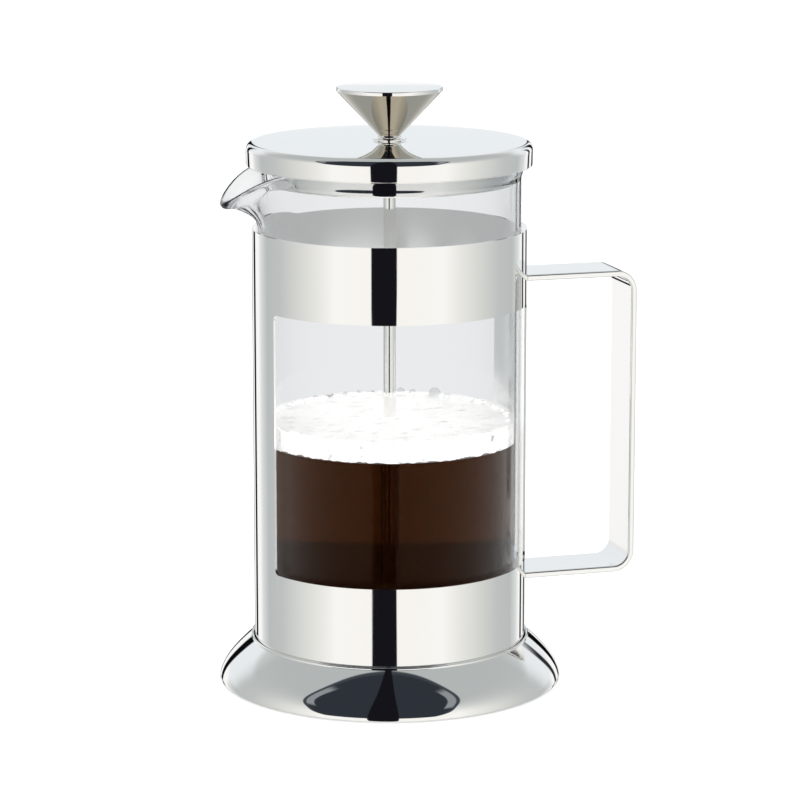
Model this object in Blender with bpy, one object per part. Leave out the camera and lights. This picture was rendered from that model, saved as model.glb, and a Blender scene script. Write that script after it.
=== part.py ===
"""A French press: glass beaker in a polished steel frame, with a lid and a sliding plunger.

Metres, +Z up. The origin is the centre of the foot, on the surface that the press stands on.
The handle is at +X and the pouring spout at -X. The plunger is down and the lid is on.
Run with: blender --background --python part.py
"""

import math

import bmesh
import bpy
from mathutils import Matrix, Vector

# --- Driving dimensions -----------------------------------------------------

GAP = 0.0003  # between pieces that touch
ROUND_STEPS = 56  # sides of the large turned pieces
HIDDEN_STEPS = 40  # sides of the large pieces inside
SMALL_STEPS = 20  # sides of the rod and its fittings

# Frame
SLEEVE_RADIUS = 0.0510
SLEEVE_WALL = 0.0008
SLEEVE_TOP = 0.1720
WINDOW_BOTTOM = 0.0465
WINDOW_TOP = 0.1438
WINDOW_CORNER = 0.0020
STRUT_HALF_ANGLE = math.radians(17.6)  # each strut, either side of the X axis

FOOT_RADIUS = 0.0642
FOOT_SHEET = 0.0009
FOOT_LIFT = 0.0004  # the hem hangs clear of the table by this much
HEM_HEIGHT = 0.0028
HEM_INNER_RADIUS = 0.0585
COLLAR_TOP = 0.0174

PAD_THICKNESS = 0.0013
PLATE_THICKNESS = 0.0010

HANDLE_REACH = 0.0940  # outer face, from the axis
HANDLE_WIDTH = 0.0224
HANDLE_THICKNESS = 0.0023
HANDLE_TOP = 0.1532
HANDLE_BOTTOM = 0.0367
HANDLE_CORNER = 0.0080
HANDLE_EDGE = 0.0004

# Beaker
GLASS_RADIUS = 0.0488
GLASS_WALL = 0.0018
GLASS_TOP = 0.1949
GLASS_FLOOR = 0.0026
GLASS_CORNER = 0.0070
BEAD_THICKNESS = 0.0030
BEAD_HEIGHT = 0.0048
SPOUT_ROOT = 0.1695  # height where the spout leaves the wall
SPOUT_REACH = 0.0154
SPOUT_DROP = 0.0128
SPOUT_HALF_ANGLE = math.radians(28.0)

# Lid
LID_RADIUS = 0.0530
LID_SHEET = 0.0008
LID_TOP = 0.2043
LID_BOTTOM = 0.1955
LID_EDGE = 0.0030
LINER_RADIUS = 0.0463
LINER_BOTTOM = 0.1892

# Plunger
KNOB_RADIUS = 0.01965
KNOB_TOP = 0.2240
KNOB_RIM = 0.0016
KNOB_NECK_RADIUS = 0.0040
ROD_RADIUS = 0.0023
ROD_TOP = 0.2160
FILTER_BOTTOM = 0.0102
FILTER_RADIUS = 0.0465
SPRING_WIRE_RING = 0.0020  # outer radius of the coil itself


# --- Modelling helpers ------------------------------------------------------


def finish(name, colour, roughness, metallic, alpha=1.0):
    """One Principled material with a linear base colour."""
    made = bpy.data.materials.new(name)
    made.use_nodes = True
    shader = made.node_tree.nodes["Principled BSDF"]
    shader.inputs["Base Color"].default_value = (*colour, 1.0)
    shader.inputs["Roughness"].default_value = roughness
    shader.inputs["Metallic"].default_value = metallic
    shader.inputs["Alpha"].default_value = alpha
    return made


def place(name, bm, material, parent=None):
    """Turn a bmesh into a named, smooth-shaded object under its joint's empty."""
    bmesh.ops.recalc_face_normals(bm, faces=bm.faces)
    mesh = bpy.data.meshes.new(name)
    bm.to_mesh(mesh)
    bm.free()
    mesh.shade_smooth()
    mesh.set_sharp_from_angle(angle=math.radians(35.0))
    mesh.materials.append(material)
    made = bpy.data.objects.new(name, mesh)
    bpy.context.collection.objects.link(made)
    made.parent = parent
    return made


def joint_axis(name, parent=None):
    """An empty on the common vertical axis, which a sliding group hangs from."""
    made = bpy.data.objects.new(name, None)
    bpy.context.collection.objects.link(made)
    made.parent = parent
    return made


def arc(centre, radius, start, end, steps):
    """Points of an arc in the (radius, height) plane, angles in degrees."""
    points = []
    for step in range(steps + 1):
        angle = math.radians(start + (end - start) * step / steps)
        points.append((centre[0] + radius * math.cos(angle), centre[1] + radius * math.sin(angle)))
    return points


def spun(outline, steps, turn=2.0 * math.pi):
    """Spin a section of (radius, height) points about the Z axis.

    A section that starts on the axis stays open there, any other is a closed loop.
    """
    bm = bmesh.new()
    verts = [bm.verts.new((radius, 0.0, height)) for radius, height in outline]
    edges = [bm.edges.new(pair) for pair in zip(verts, verts[1:])]
    if outline[0][0] > 0.0:
        edges.append(bm.edges.new((verts[-1], verts[0])))
    full = turn > 6.28
    if not full:
        bm.faces.new(verts)
    bmesh.ops.spin(
        bm,
        geom=bm.faces[:] + edges + verts,
        cent=(0.0, 0.0, 0.0),
        axis=(0.0, 0.0, 1.0),
        angle=turn,
        steps=steps,
        use_merge=full,
    )
    bmesh.ops.remove_doubles(bm, verts=bm.verts, dist=1e-6)
    return bm


def turned(name, outline, material, parent=None, steps=ROUND_STEPS):
    """A turned or spun piece from its section."""
    return place(name, spun(outline, steps), material, parent)


def ring(inner, outer, bottom, top):
    """The rectangular section of a flat ring."""
    return [(inner, bottom), (outer, bottom), (outer, top), (inner, top)]


def cut_with(target, bm, operation="DIFFERENCE"):
    """Cut an object with a guide shape, which stays in the file as a wire cutter."""
    mesh = bpy.data.meshes.new(target.name + "_cutter")
    bmesh.ops.recalc_face_normals(bm, faces=bm.faces)
    bm.to_mesh(mesh)
    bm.free()
    cutter = bpy.data.objects.new(mesh.name, mesh)
    bpy.context.collection.objects.link(cutter)
    cutter.hide_render = True
    cutter.display_type = "WIRE"
    boolean = target.modifiers.new("cut", "BOOLEAN")
    boolean.operation = operation
    boolean.solver = "EXACT"
    boolean.object = cutter
    return cutter


def hexagon_nut(name, across_flats, bore, bottom, top, material, parent):
    """A chamfered hexagon nut: a turned blank cut by a six-sided prism."""
    corner = across_flats / math.sqrt(3.0)
    chamfer = (corner - across_flats / 2.0) * 0.6
    blank = [
        (bore, bottom),
        (corner - chamfer, bottom),
        (corner, bottom + chamfer),
        (corner, top - chamfer),
        (corner - chamfer, top),
        (bore, top),
    ]
    nut = turned(name, blank, material, parent, steps=SMALL_STEPS)
    prism = bmesh.new()
    bmesh.ops.create_cone(
        prism,
        cap_ends=True,
        segments=6,
        radius1=corner,
        radius2=corner,
        depth=(top - bottom) * 2.0,
        matrix=Matrix.Translation((0.0, 0.0, (top + bottom) / 2.0)),
    )
    cut_with(nut, prism, "INTERSECT")
    return nut


def round_cutters(circles, radius, bottom, top, sides):
    """Upright round cutters on circles of (radius, count) about the axis."""
    bm = bmesh.new()
    for circle, count in circles:
        for index in range(count):
            angle = 2.0 * math.pi * index / count
            bmesh.ops.create_cone(
                bm,
                cap_ends=True,
                segments=sides,
                radius1=radius,
                radius2=radius,
                depth=top - bottom,
                matrix=Matrix.Translation(
                    (circle * math.cos(angle), circle * math.sin(angle), (top + bottom) / 2.0)
                ),
            )
    return bm


# --- Frame ------------------------------------------------------------------


def frame_sleeve(material, bottom):
    """Drawn steel tube with two windows, which leave an upper ring, a lower band and two struts."""
    inner = SLEEVE_RADIUS - SLEEVE_WALL
    sleeve = turned("frame_sleeve", ring(inner, SLEEVE_RADIUS, bottom, SLEEVE_TOP), material)
    window = math.pi - 2.0 * STRUT_HALF_ANGLE
    reach = 0.003
    cutter = spun(
        ring(inner - reach, SLEEVE_RADIUS + reach, WINDOW_BOTTOM, WINDOW_TOP),
        steps=ROUND_STEPS // 2,
        turn=window,
    )
    bmesh.ops.rotate(cutter, verts=cutter.verts, matrix=Matrix.Rotation(STRUT_HALF_ANGLE, 3, "Z"))
    corners = [edge for edge in cutter.edges if is_window_corner(edge, window)]
    bmesh.ops.bevel(
        cutter, geom=corners, offset=WINDOW_CORNER, segments=4, profile=0.5, affect="EDGES"
    )
    opposite = cutter.copy()
    bmesh.ops.rotate(opposite, verts=opposite.verts, matrix=Matrix.Rotation(math.pi, 3, "Z"))
    cut_with(sleeve, cutter)
    cut_with(sleeve, opposite)
    return sleeve


def is_window_corner(edge, window):
    """Whether an edge is one of the four radial edges at the ends of a window's cutter."""
    one, other = (vert.co for vert in edge.verts)
    radial = abs(one.xy.length - other.xy.length) > 0.001
    angle = math.atan2(one.y, one.x)
    ends = (STRUT_HALF_ANGLE, STRUT_HALF_ANGLE + window)
    return radial and any(abs(angle - end) < 0.01 for end in ends)


def base_skirt(material):
    """Spun steel foot: a collar round the sleeve, a cone, and a hem turned in under the plate."""
    collar = SLEEVE_RADIUS + GAP + 0.0005
    lip = arc((collar, COLLAR_TOP - 0.0005), 0.0005, 180.0, 0.0, 2)
    edge = FOOT_RADIUS - 0.0005
    hem_top = FOOT_LIFT + HEM_HEIGHT
    inner = FOOT_RADIUS - FOOT_SHEET
    outline = (
        lip
        + arc((edge, hem_top - 0.0005), 0.0005, 38.0, 0.0, 1)
        + arc((edge, FOOT_LIFT + 0.0005), 0.0005, 0.0, -90.0, 2)
        + [
            (HEM_INNER_RADIUS, FOOT_LIFT),
            (HEM_INNER_RADIUS, FOOT_LIFT + FOOT_SHEET),
            (inner, FOOT_LIFT + FOOT_SHEET),
            (inner, hem_top - FOOT_SHEET),
            (collar - 0.0003, COLLAR_TOP - 0.0014),
        ]
    )
    return turned("base_skirt", outline, material)


def beaker_seat(material, bottom, floor):
    """Moulded cup in the bottom of the sleeve that the glass stands in."""
    outer = SLEEVE_RADIUS - SLEEVE_WALL - GAP
    lip_top = floor + 0.0040
    outline = [
        (0.0, bottom),
        (outer, bottom),
        (outer, lip_top),
        (GLASS_RADIUS + GAP, lip_top),
        (GLASS_RADIUS + GAP, floor + 0.0020),
        (GLASS_RADIUS - 0.0030, floor),
        (0.0, floor),
    ]
    return turned("beaker_seat", outline, material, steps=HIDDEN_STEPS)


def handle(material):
    """One flat bar bent to a C, its two ends shaped to the tube and welded to the strut."""
    start = SLEEVE_RADIUS - 0.006
    thick = HANDLE_THICKNESS
    corner_x = HANDLE_REACH - HANDLE_CORNER
    upper = (corner_x, HANDLE_TOP - HANDLE_CORNER)
    lower = (corner_x, HANDLE_BOTTOM + HANDLE_CORNER)
    outer = arc(upper, HANDLE_CORNER, 90.0, 0.0, 6) + arc(lower, HANDLE_CORNER, 0.0, -90.0, 6)
    inner = arc(lower, HANDLE_CORNER - thick, -90.0, 0.0, 6)
    inner += arc(upper, HANDLE_CORNER - thick, 0.0, 90.0, 6)
    outline = (
        [(start, HANDLE_TOP)]
        + outer
        + [(start, HANDLE_BOTTOM), (start, HANDLE_BOTTOM + thick)]
        + inner
        + [(start, HANDLE_TOP - thick)]
    )
    bm = bmesh.new()
    side = -HANDLE_WIDTH / 2.0
    face = bm.faces.new([bm.verts.new((x, side, z)) for x, z in outline])
    pulled = bmesh.ops.extrude_face_region(bm, geom=[face])
    moved = [item for item in pulled["geom"] if isinstance(item, bmesh.types.BMVert)]
    bmesh.ops.translate(bm, verts=moved, vec=(0.0, HANDLE_WIDTH, 0.0))
    made = place("handle", bm, material)
    soften = made.modifiers.new("edges", "BEVEL")
    soften.width = HANDLE_EDGE
    soften.segments = 2
    soften.limit_method = "ANGLE"
    soften.angle_limit = math.radians(40.0)
    tube = spun([(0.0, 0.0), (SLEEVE_RADIUS + GAP, 0.0), (SLEEVE_RADIUS + GAP, 0.2), (0.0, 0.2)], 96)
    cut_with(made, tube)
    return made


def frame(steel, rubber, silicone):
    """The welded frame with its foot, plate, pad and seat. Returns the height of the glass."""
    plate_bottom = PAD_THICKNESS + GAP
    plate_top = plate_bottom + PLATE_THICKNESS
    frame_sleeve(steel, plate_top + GAP)
    base_skirt(steel)
    pad = [(0.0, 0.0), (HEM_INNER_RADIUS - GAP, 0.0), (HEM_INNER_RADIUS - GAP, PAD_THICKNESS)]
    turned("foot_pad", pad + [(0.0, PAD_THICKNESS)], rubber)
    plate_radius = FOOT_RADIUS - FOOT_SHEET - 0.0011
    plate = [(0.0, plate_bottom), (plate_radius, plate_bottom), (plate_radius, plate_top)]
    turned("base_plate", plate + [(0.0, plate_top)], steel)
    seat_floor = plate_top + GAP + 0.0027
    beaker_seat(silicone, plate_top + GAP, seat_floor)
    handle(steel)
    return seat_floor + GAP


# --- Beaker -----------------------------------------------------------------


def spout_share(angle):
    """How far a direction belongs to the spout: 1 along -X, falling smoothly to 0 at its sides."""
    away = abs(math.remainder(angle - math.pi, 2.0 * math.pi))
    if away >= SPOUT_HALF_ANGLE:
        return 0.0
    return (0.5 + 0.5 * math.cos(math.pi * away / SPOUT_HALF_ANGLE)) ** 0.9


def drawn_out(height, share):
    """Where a point of the outer wall goes as the soft glass is pulled out and down."""
    rise = max(0.0, (height - SPOUT_ROOT) / (GLASS_TOP - SPOUT_ROOT))
    radius = GLASS_RADIUS + SPOUT_REACH * share * rise**2
    return Vector((radius, height - SPOUT_DROP * share**1.7 * rise**1.6))


def beaker_section(share, bottom):
    """The wall's section in one direction, from the flat bottom out, up, over and back inside."""
    corner = arc((GLASS_RADIUS - GLASS_CORNER, bottom + GLASS_CORNER), GLASS_CORNER, -90.0, 0.0, 3)
    wall_steps = 6
    bead_root = GLASS_TOP - BEAD_HEIGHT
    heights = [SPOUT_ROOT + (bead_root - SPOUT_ROOT) * step / wall_steps for step in range(wall_steps)]
    heights += [bead_root, bead_root + BEAD_HEIGHT * 0.35, bead_root + BEAD_HEIGHT * 0.7]
    outer = [drawn_out(height, share) for height in heights]
    tip = drawn_out(GLASS_TOP - BEAD_THICKNESS / 2.0, share)
    along = (tip - outer[-1]).normalized()
    inward = Vector((-along.y, along.x))
    swell = (BEAD_THICKNESS - GLASS_WALL) / 2.0
    centre = tip + inward * GLASS_WALL / 2.0
    bead = []
    for step in range(6):
        angle = math.pi * step / 5.0
        offset = inward * -math.cos(angle) + along * math.sin(angle)
        bead.append(centre + offset * BEAD_THICKNESS / 2.0)
    walls = []
    for index, point in enumerate(outer):
        before = outer[index - 1] if index else point - Vector((0.0, 0.001))
        after = outer[index + 1] if index + 1 < len(outer) else tip
        slope = (after - before).normalized()
        normal = Vector((-slope.y, slope.x))
        thicker = swell * max(0.0, index - wall_steps) / 3.0
        walls.append((point - normal * thicker, point + normal * (GLASS_WALL + thicker)))
    inner_corner = GLASS_CORNER - GLASS_WALL
    inside = arc(
        (GLASS_RADIUS - GLASS_CORNER, bottom + GLASS_FLOOR + inner_corner), inner_corner, 0.0, -90.0, 3
    )
    return (
        corner
        + [tuple(out) for out, _ in walls]
        + [tuple(point) for point in bead]
        + [tuple(within) for _, within in reversed(walls)]
        + inside
    )


def glass_beaker(material, bottom, parent):
    """Blown glass beaker: sections all the way round, closer together across the spout."""
    spout = [math.pi + SPOUT_HALF_ANGLE * step / 8.0 for step in range(-8, 9)]
    rest = 2.0 * math.pi - 2.0 * SPOUT_HALF_ANGLE
    plain_steps = 38
    plain = [math.pi + SPOUT_HALF_ANGLE + rest * step / plain_steps for step in range(1, plain_steps)]
    bm = bmesh.new()
    loops = []
    for angle in spout + plain:
        section = beaker_section(spout_share(angle), bottom)
        turn = (math.cos(angle), math.sin(angle))
        loops.append([bm.verts.new((r * turn[0], r * turn[1], z)) for r, z in section])
    for one, other in zip(loops, loops[1:] + loops[:1]):
        for index in range(len(one) - 1):
            bm.faces.new((one[index], other[index], other[index + 1], one[index + 1]))
    bm.faces.new([loop[0] for loop in loops])
    bm.faces.new([loop[-1] for loop in loops])
    bmesh.ops.remove_doubles(bm, verts=bm.verts, dist=1e-6)
    drawn = [face for face in bm.faces if face.calc_center_median().z > SPOUT_ROOT and len(face.verts) > 3]
    bmesh.ops.triangulate(bm, faces=[face for face in drawn if face.calc_center_median().x < -0.03])
    return place("glass_beaker", bm, material, parent)


# --- Lid --------------------------------------------------------------------


def lid(steel, satin, parent):
    """Pressed cap, pressed liner that centres it in the glass, and the rod's guide bush."""
    hole = ROD_RADIUS + 0.0020
    side = LID_RADIUS - LID_SHEET
    corner = (LID_RADIUS - LID_EDGE, LID_TOP - LID_EDGE)
    hem = arc((LID_RADIUS - LID_SHEET / 2.0, LID_BOTTOM + 0.0004), 0.0004, 0.0, -180.0, 2)
    cover = (
        [(hole, LID_TOP)]
        + arc(corner, LID_EDGE, 90.0, 0.0, 5)
        + hem
        + arc(corner, LID_EDGE - LID_SHEET, 0.0, 90.0, 3)
        + [(hole, LID_TOP - LID_SHEET)]
    )
    turned("lid_cover", cover, steel, parent)

    flange = GLASS_TOP + GAP
    sheet = LID_SHEET
    liner = (
        [(ROD_RADIUS + 0.0004, LINER_BOTTOM)]
        + arc((LINER_RADIUS - 0.0012, LINER_BOTTOM + 0.0012), 0.0012, -90.0, 0.0, 2)
        + [(LINER_RADIUS, flange), (side - GAP, flange), (side - GAP, flange + sheet)]
        + [(LINER_RADIUS - sheet, flange + sheet), (LINER_RADIUS - sheet, LINER_BOTTOM + 0.0014)]
        + [(LINER_RADIUS - 0.0014, LINER_BOTTOM + sheet), (ROD_RADIUS + 0.0004, LINER_BOTTOM + sheet)]
    )
    turned("lid_liner", liner, satin, parent, steps=HIDDEN_STEPS)

    bore = ROD_RADIUS + GAP
    shank = hole - GAP
    flange = LID_TOP + GAP
    bush = [
        (bore, flange - 0.0070),
        (shank, flange - 0.0070),
        (shank, flange),
        (0.0062, flange),
        (0.0060, flange + 0.0003),
        (0.0047, flange + 0.0004),
        (0.0046, flange + 0.0006),
        (bore, flange + 0.0006),
    ]
    turned("rod_bush", bush, steel, parent, steps=SMALL_STEPS)
    washer_top = LID_TOP - LID_SHEET - GAP
    washer = ring(hole, 0.0075, washer_top - 0.0008, washer_top)
    turned("bush_washer", washer, satin, parent, steps=SMALL_STEPS)
    nut_top = washer_top - 0.0008 - GAP
    hexagon_nut("bush_nut", 0.0110, hole, nut_top - 0.0032, nut_top, satin, parent)


# --- Plunger ----------------------------------------------------------------


def knob(material, parent, bottom):
    """Turned conical knob with a flat top, screwed on the rod's upper end."""
    bore = ROD_RADIUS + GAP
    rim_bottom = KNOB_TOP - KNOB_RIM
    outline = (
        [(0.0, KNOB_TOP)]
        + arc((KNOB_RADIUS - 0.0003, KNOB_TOP - 0.0003), 0.0003, 90.0, 0.0, 2)
        + [(KNOB_RADIUS, rim_bottom + 0.0002), (KNOB_RADIUS - 0.0002, rim_bottom)]
        + [(KNOB_NECK_RADIUS + 0.0002, bottom + 0.0009), (KNOB_NECK_RADIUS, bottom + 0.0005)]
        + [(KNOB_NECK_RADIUS + 0.0003, bottom), (bore, bottom)]
        + [(bore, ROD_TOP + GAP), (0.0, ROD_TOP + GAP)]
    )
    return turned("knob", outline, material, parent)


def filter_stack(steel, satin, parent):
    """The parts on the rod's lower end, built up from the hub. Returns the rod's lowest point."""
    bore = ROD_RADIUS + GAP
    hub_flange = FILTER_BOTTOM + 0.0032
    plate_bottom = hub_flange + 0.0007 + GAP
    plate_top = plate_bottom + 0.0008
    rod_end = FILTER_BOTTOM + 0.0012
    hub = [
        (0.0, FILTER_BOTTOM),
        (0.0030, FILTER_BOTTOM),
        (0.0045, FILTER_BOTTOM + 0.0012),
        (0.0045, hub_flange),
        (0.0065, hub_flange),
        (0.0065, hub_flange + 0.0007),
        (0.0034, hub_flange + 0.0007),
        (0.0034, plate_top),
        (bore, plate_top),
        (bore, rod_end - GAP),
        (0.0, rod_end - GAP),
    ]
    turned("cross_plate_hub", hub, steel, parent, steps=SMALL_STEPS)

    disc = ring(0.0037, 0.0445, plate_bottom, plate_top)
    plate = turned("cross_plate", disc, satin, parent, steps=HIDDEN_STEPS)
    rings = ((0.0130, 6), (0.0245, 12), (0.0365, 18))
    cut_with(plate, round_cutters(rings, 0.0034, plate_bottom - 0.001, plate_top + 0.001, 8))

    mesh_bottom = plate_top + GAP
    sheet = 0.0003
    mesh_top = mesh_bottom + sheet
    screen = [
        (bore, mesh_bottom),
        (FILTER_RADIUS - 0.0008, mesh_bottom),
        (FILTER_RADIUS, mesh_bottom + 0.0008),
        (FILTER_RADIUS, mesh_bottom + 0.0055),
        (FILTER_RADIUS - sheet, mesh_bottom + 0.0055),
        (FILTER_RADIUS - sheet, mesh_bottom + 0.0010),
        (FILTER_RADIUS - 0.0010, mesh_top),
        (bore, mesh_top),
    ]
    turned("filter_mesh", screen, satin, parent, steps=HIDDEN_STEPS)

    coil = SPRING_WIRE_RING
    ring_radius = FILTER_RADIUS - sheet - GAP - coil
    spring = arc((ring_radius, mesh_top + GAP + coil), coil, 0.0, 315.0, 7)
    turned("filter_spring", spring, steel, parent, steps=HIDDEN_STEPS)

    rim = ring_radius - coil - GAP
    spiral_bottom = mesh_top + GAP
    spiral = [
        (bore, spiral_bottom),
        (rim, spiral_bottom),
        (rim, spiral_bottom + 0.0029),
        (rim - 0.0008, spiral_bottom + 0.0029),
        (rim - 0.0008, spiral_bottom + 0.0008),
        (bore, spiral_bottom + 0.0008),
    ]
    carrier = turned("spiral_plate", spiral, satin, parent, steps=HIDDEN_STEPS)
    holes = ((0.0160, 6), (0.0300, 10))
    cut_with(carrier, round_cutters(holes, 0.0045, spiral_bottom - 0.001, spiral_bottom + 0.002, 10))

    washer_bottom = spiral_bottom + 0.0008 + GAP
    washer = ring(bore, 0.0070, washer_bottom, washer_bottom + 0.0008)
    turned("clamp_washer", washer, steel, parent, steps=SMALL_STEPS)
    nut_bottom = washer_bottom + 0.0008 + GAP
    hexagon_nut("lock_nut", 0.0080, bore, nut_bottom, nut_bottom + 0.0030, steel, parent)
    return rod_end


def plunger(steel, satin, parent):
    """The rod with its knob and its filter."""
    rod_end = filter_stack(steel, satin, parent)
    chamfer = 0.0004
    rod = [
        (0.0, rod_end),
        (ROD_RADIUS - chamfer, rod_end),
        (ROD_RADIUS, rod_end + chamfer),
        (ROD_RADIUS, ROD_TOP - chamfer),
        (ROD_RADIUS - chamfer, ROD_TOP),
        (0.0, ROD_TOP),
    ]
    turned("plunger_rod", rod, steel, parent, steps=SMALL_STEPS)
    knob(steel, parent, LID_TOP + GAP + 0.0006 + GAP)


# --- Assembly ---------------------------------------------------------------

for old in list(bpy.data.objects):
    bpy.data.objects.remove(old)

polished = finish("polished_steel", (0.80, 0.80, 0.80), 0.05, 1.0)
satin_steel = finish("satin_steel", (0.62, 0.62, 0.61), 0.30, 1.0)
glass = finish("borosilicate_glass", (0.90, 0.95, 0.97), 0.02, 0.0, alpha=0.3)
black_rubber = finish("black_rubber", (0.02, 0.02, 0.02), 0.80, 0.0)
grey_silicone = finish("grey_silicone", (0.20, 0.20, 0.21), 0.60, 0.0)

beaker_lift = joint_axis("beaker_lift_axis")
lid_lift = joint_axis("lid_lift_axis", beaker_lift)
plunger_slide = joint_axis("plunger_slide_axis", lid_lift)

glass_bottom = frame(polished, black_rubber, grey_silicone)
glass_beaker(glass, glass_bottom, beaker_lift)
lid(polished, satin_steel, lid_lift)
plunger(polished, satin_steel, plunger_slide)
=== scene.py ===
"""A French press with coffee in it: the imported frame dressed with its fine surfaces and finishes."""

import math
import random

import bpy
from mathutils import Matrix, Vector, noise


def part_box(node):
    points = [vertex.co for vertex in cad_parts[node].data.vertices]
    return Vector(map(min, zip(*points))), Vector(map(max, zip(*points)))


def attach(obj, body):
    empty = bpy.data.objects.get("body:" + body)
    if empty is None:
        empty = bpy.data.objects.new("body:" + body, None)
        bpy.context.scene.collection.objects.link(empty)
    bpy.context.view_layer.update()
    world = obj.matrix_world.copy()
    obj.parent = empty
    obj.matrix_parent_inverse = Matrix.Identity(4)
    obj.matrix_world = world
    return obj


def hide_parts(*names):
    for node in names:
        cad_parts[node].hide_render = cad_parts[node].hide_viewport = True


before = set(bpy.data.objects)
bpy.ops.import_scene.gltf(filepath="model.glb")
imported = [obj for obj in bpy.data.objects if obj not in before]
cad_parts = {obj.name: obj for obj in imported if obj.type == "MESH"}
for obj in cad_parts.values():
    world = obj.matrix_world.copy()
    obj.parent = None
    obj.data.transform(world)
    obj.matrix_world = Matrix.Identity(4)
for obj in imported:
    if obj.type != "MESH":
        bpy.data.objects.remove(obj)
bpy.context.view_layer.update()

# --- Foot pad -----------------------------------------------------------------
# The press stands on a disc of black synthetic rubber, moulded with a fine pebble grain so that
# it doesn't slide, and glued into the hollow of the foot.


def hex_colour(code):
    """An sRGB hex colour as linear RGBA."""
    channels = [int(code[place : place + 2], 16) / 255.0 for place in (1, 3, 5)]
    linear = [c / 12.92 if c <= 0.04045 else ((c + 0.055) / 1.055) ** 2.4 for c in channels]
    return (*linear, 1.0)


def add_node(tree, kind, settings=None, links=None):
    """Add a shader node, set its inputs or properties by name, and link other nodes' outputs to it."""
    node = tree.nodes.new(kind)
    for name, value in (settings or {}).items():
        if isinstance(name, int) or name in node.inputs:
            node.inputs[name].default_value = value
        else:
            setattr(node, name, value)
    for name, output in (links or {}).items():
        tree.links.new(output, node.inputs[name])
    return node


def new_finish(name, settings):
    """A material with its Principled shader set, and a place coordinate that other nodes can read."""
    made = bpy.data.materials.new(name)
    made.use_nodes = True
    shader = made.node_tree.nodes["Principled BSDF"]
    for socket, value in settings.items():
        shader.inputs[socket].default_value = value
    place = add_node(made.node_tree, "ShaderNodeTexCoord").outputs["Object"]
    return made, made.node_tree, shader, place


def moulded_rubber():
    """Synthetic rubber, moulded: near black and matt, with a pebble grain of about a millimetre."""
    made, tree, shader, place = new_finish("moulded_rubber", {"Base Color": hex_colour("#161617")})
    grain = add_node(tree, "ShaderNodeTexVoronoi", {"Scale": 1000.0}, {"Vector": place})
    wear = add_node(tree, "ShaderNodeTexNoise", {"Scale": 90.0, "Detail": 4.0}, {"Vector": place})
    rough = add_node(
        tree, "ShaderNodeMapRange", {"To Min": 0.62, "To Max": 0.86}, {"Value": wear.outputs["Fac"]}
    )
    bump = add_node(
        tree,
        "ShaderNodeBump",
        {"Strength": 0.5, "Distance": 0.0002},
        {"Height": grain.outputs["Distance"]},
    )
    tree.links.new(rough.outputs["Result"], shader.inputs["Roughness"])
    tree.links.new(bump.outputs["Normal"], shader.inputs["Normal"])
    return made


def dress(node, material):
    """Give a carried-over CAD piece its finish."""
    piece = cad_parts[node]
    piece.data.materials.clear()
    piece.data.materials.append(material)


dress("foot_pad", moulded_rubber())

# --- Base plate ---------------------------------------------------------------
# A disc blanked from stainless sheet closes the foot and carries the sleeve. It isn't polished:
# the lathe that trimmed it left fine rings.


def satin_steel():
    """Stainless steel, turned: a soft grey gleam with rings half a millimetre apart."""
    made, tree, shader, place = new_finish(
        "satin_steel", {"Base Color": hex_colour("#CFCFCC"), "Metallic": 1.0}
    )
    rings = add_node(
        tree,
        "ShaderNodeTexWave",
        {"wave_type": "RINGS", "rings_direction": "Z", "Scale": 630.0, "Distortion": 0.3},
        {"Vector": place},
    )
    blotches = add_node(tree, "ShaderNodeTexNoise", {"Scale": 160.0, "Detail": 3.0}, {"Vector": place})
    rough = add_node(
        tree, "ShaderNodeMapRange", {"To Min": 0.20, "To Max": 0.34}, {"Value": blotches.outputs["Fac"]}
    )
    bump = add_node(
        tree,
        "ShaderNodeBump",
        {"Strength": 0.12, "Distance": 0.00005},
        {"Height": rings.outputs["Fac"]},
    )
    tree.links.new(rough.outputs["Result"], shader.inputs["Roughness"])
    tree.links.new(bump.outputs["Normal"], shader.inputs["Normal"])
    return made


satin = satin_steel()
dress("base_plate", satin)

# --- Foot ---------------------------------------------------------------------
# The flared foot is spun from stainless sheet: a rolled collar that hugs the sleeve, a gently
# domed cone, and a hem turned under the base plate. It is buffed to a mirror.


def polished_steel():
    """Stainless steel, buffed: a clean mirror with a faint haze left by the mop."""
    made, tree, shader, place = new_finish(
        "polished_steel", {"Base Color": hex_colour("#F7F6F4"), "Metallic": 1.0}
    )
    haze = add_node(tree, "ShaderNodeTexNoise", {"Scale": 75.0, "Detail": 5.0}, {"Vector": place})
    rough = add_node(
        tree, "ShaderNodeMapRange", {"To Min": 0.015, "To Max": 0.05}, {"Value": haze.outputs["Fac"]}
    )
    tree.links.new(rough.outputs["Result"], shader.inputs["Roughness"])
    return made


polished = polished_steel()


def begin(name, add_primitive, **size):
    """Add a primitive with nothing else selected, name it, and open it for editing."""
    bpy.ops.object.select_all(action="DESELECT")
    add_primitive(**size)
    piece = bpy.context.object
    piece.name = name
    piece.data.name = name
    bpy.ops.object.mode_set(mode="EDIT")
    return piece


def close_up(piece, smooth_angle=30.0):
    """Leave edit mode, put the object's place into its mesh, and shade it."""
    bpy.ops.object.mode_set(mode="OBJECT")
    bpy.ops.object.transform_apply(location=True, rotation=True, scale=True)
    bpy.ops.object.shade_smooth_by_angle(angle=math.radians(smooth_angle))
    return piece


def corner(centre, radius, start, end, steps=6):
    """Points round a corner of a (radius, height) section, from one angle in degrees to another."""
    angles = [math.radians(start + (end - start) * step / steps) for step in range(steps + 1)]
    return [(centre[0] + radius * math.cos(a), centre[1] + radius * math.sin(a)) for a in angles]


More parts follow.
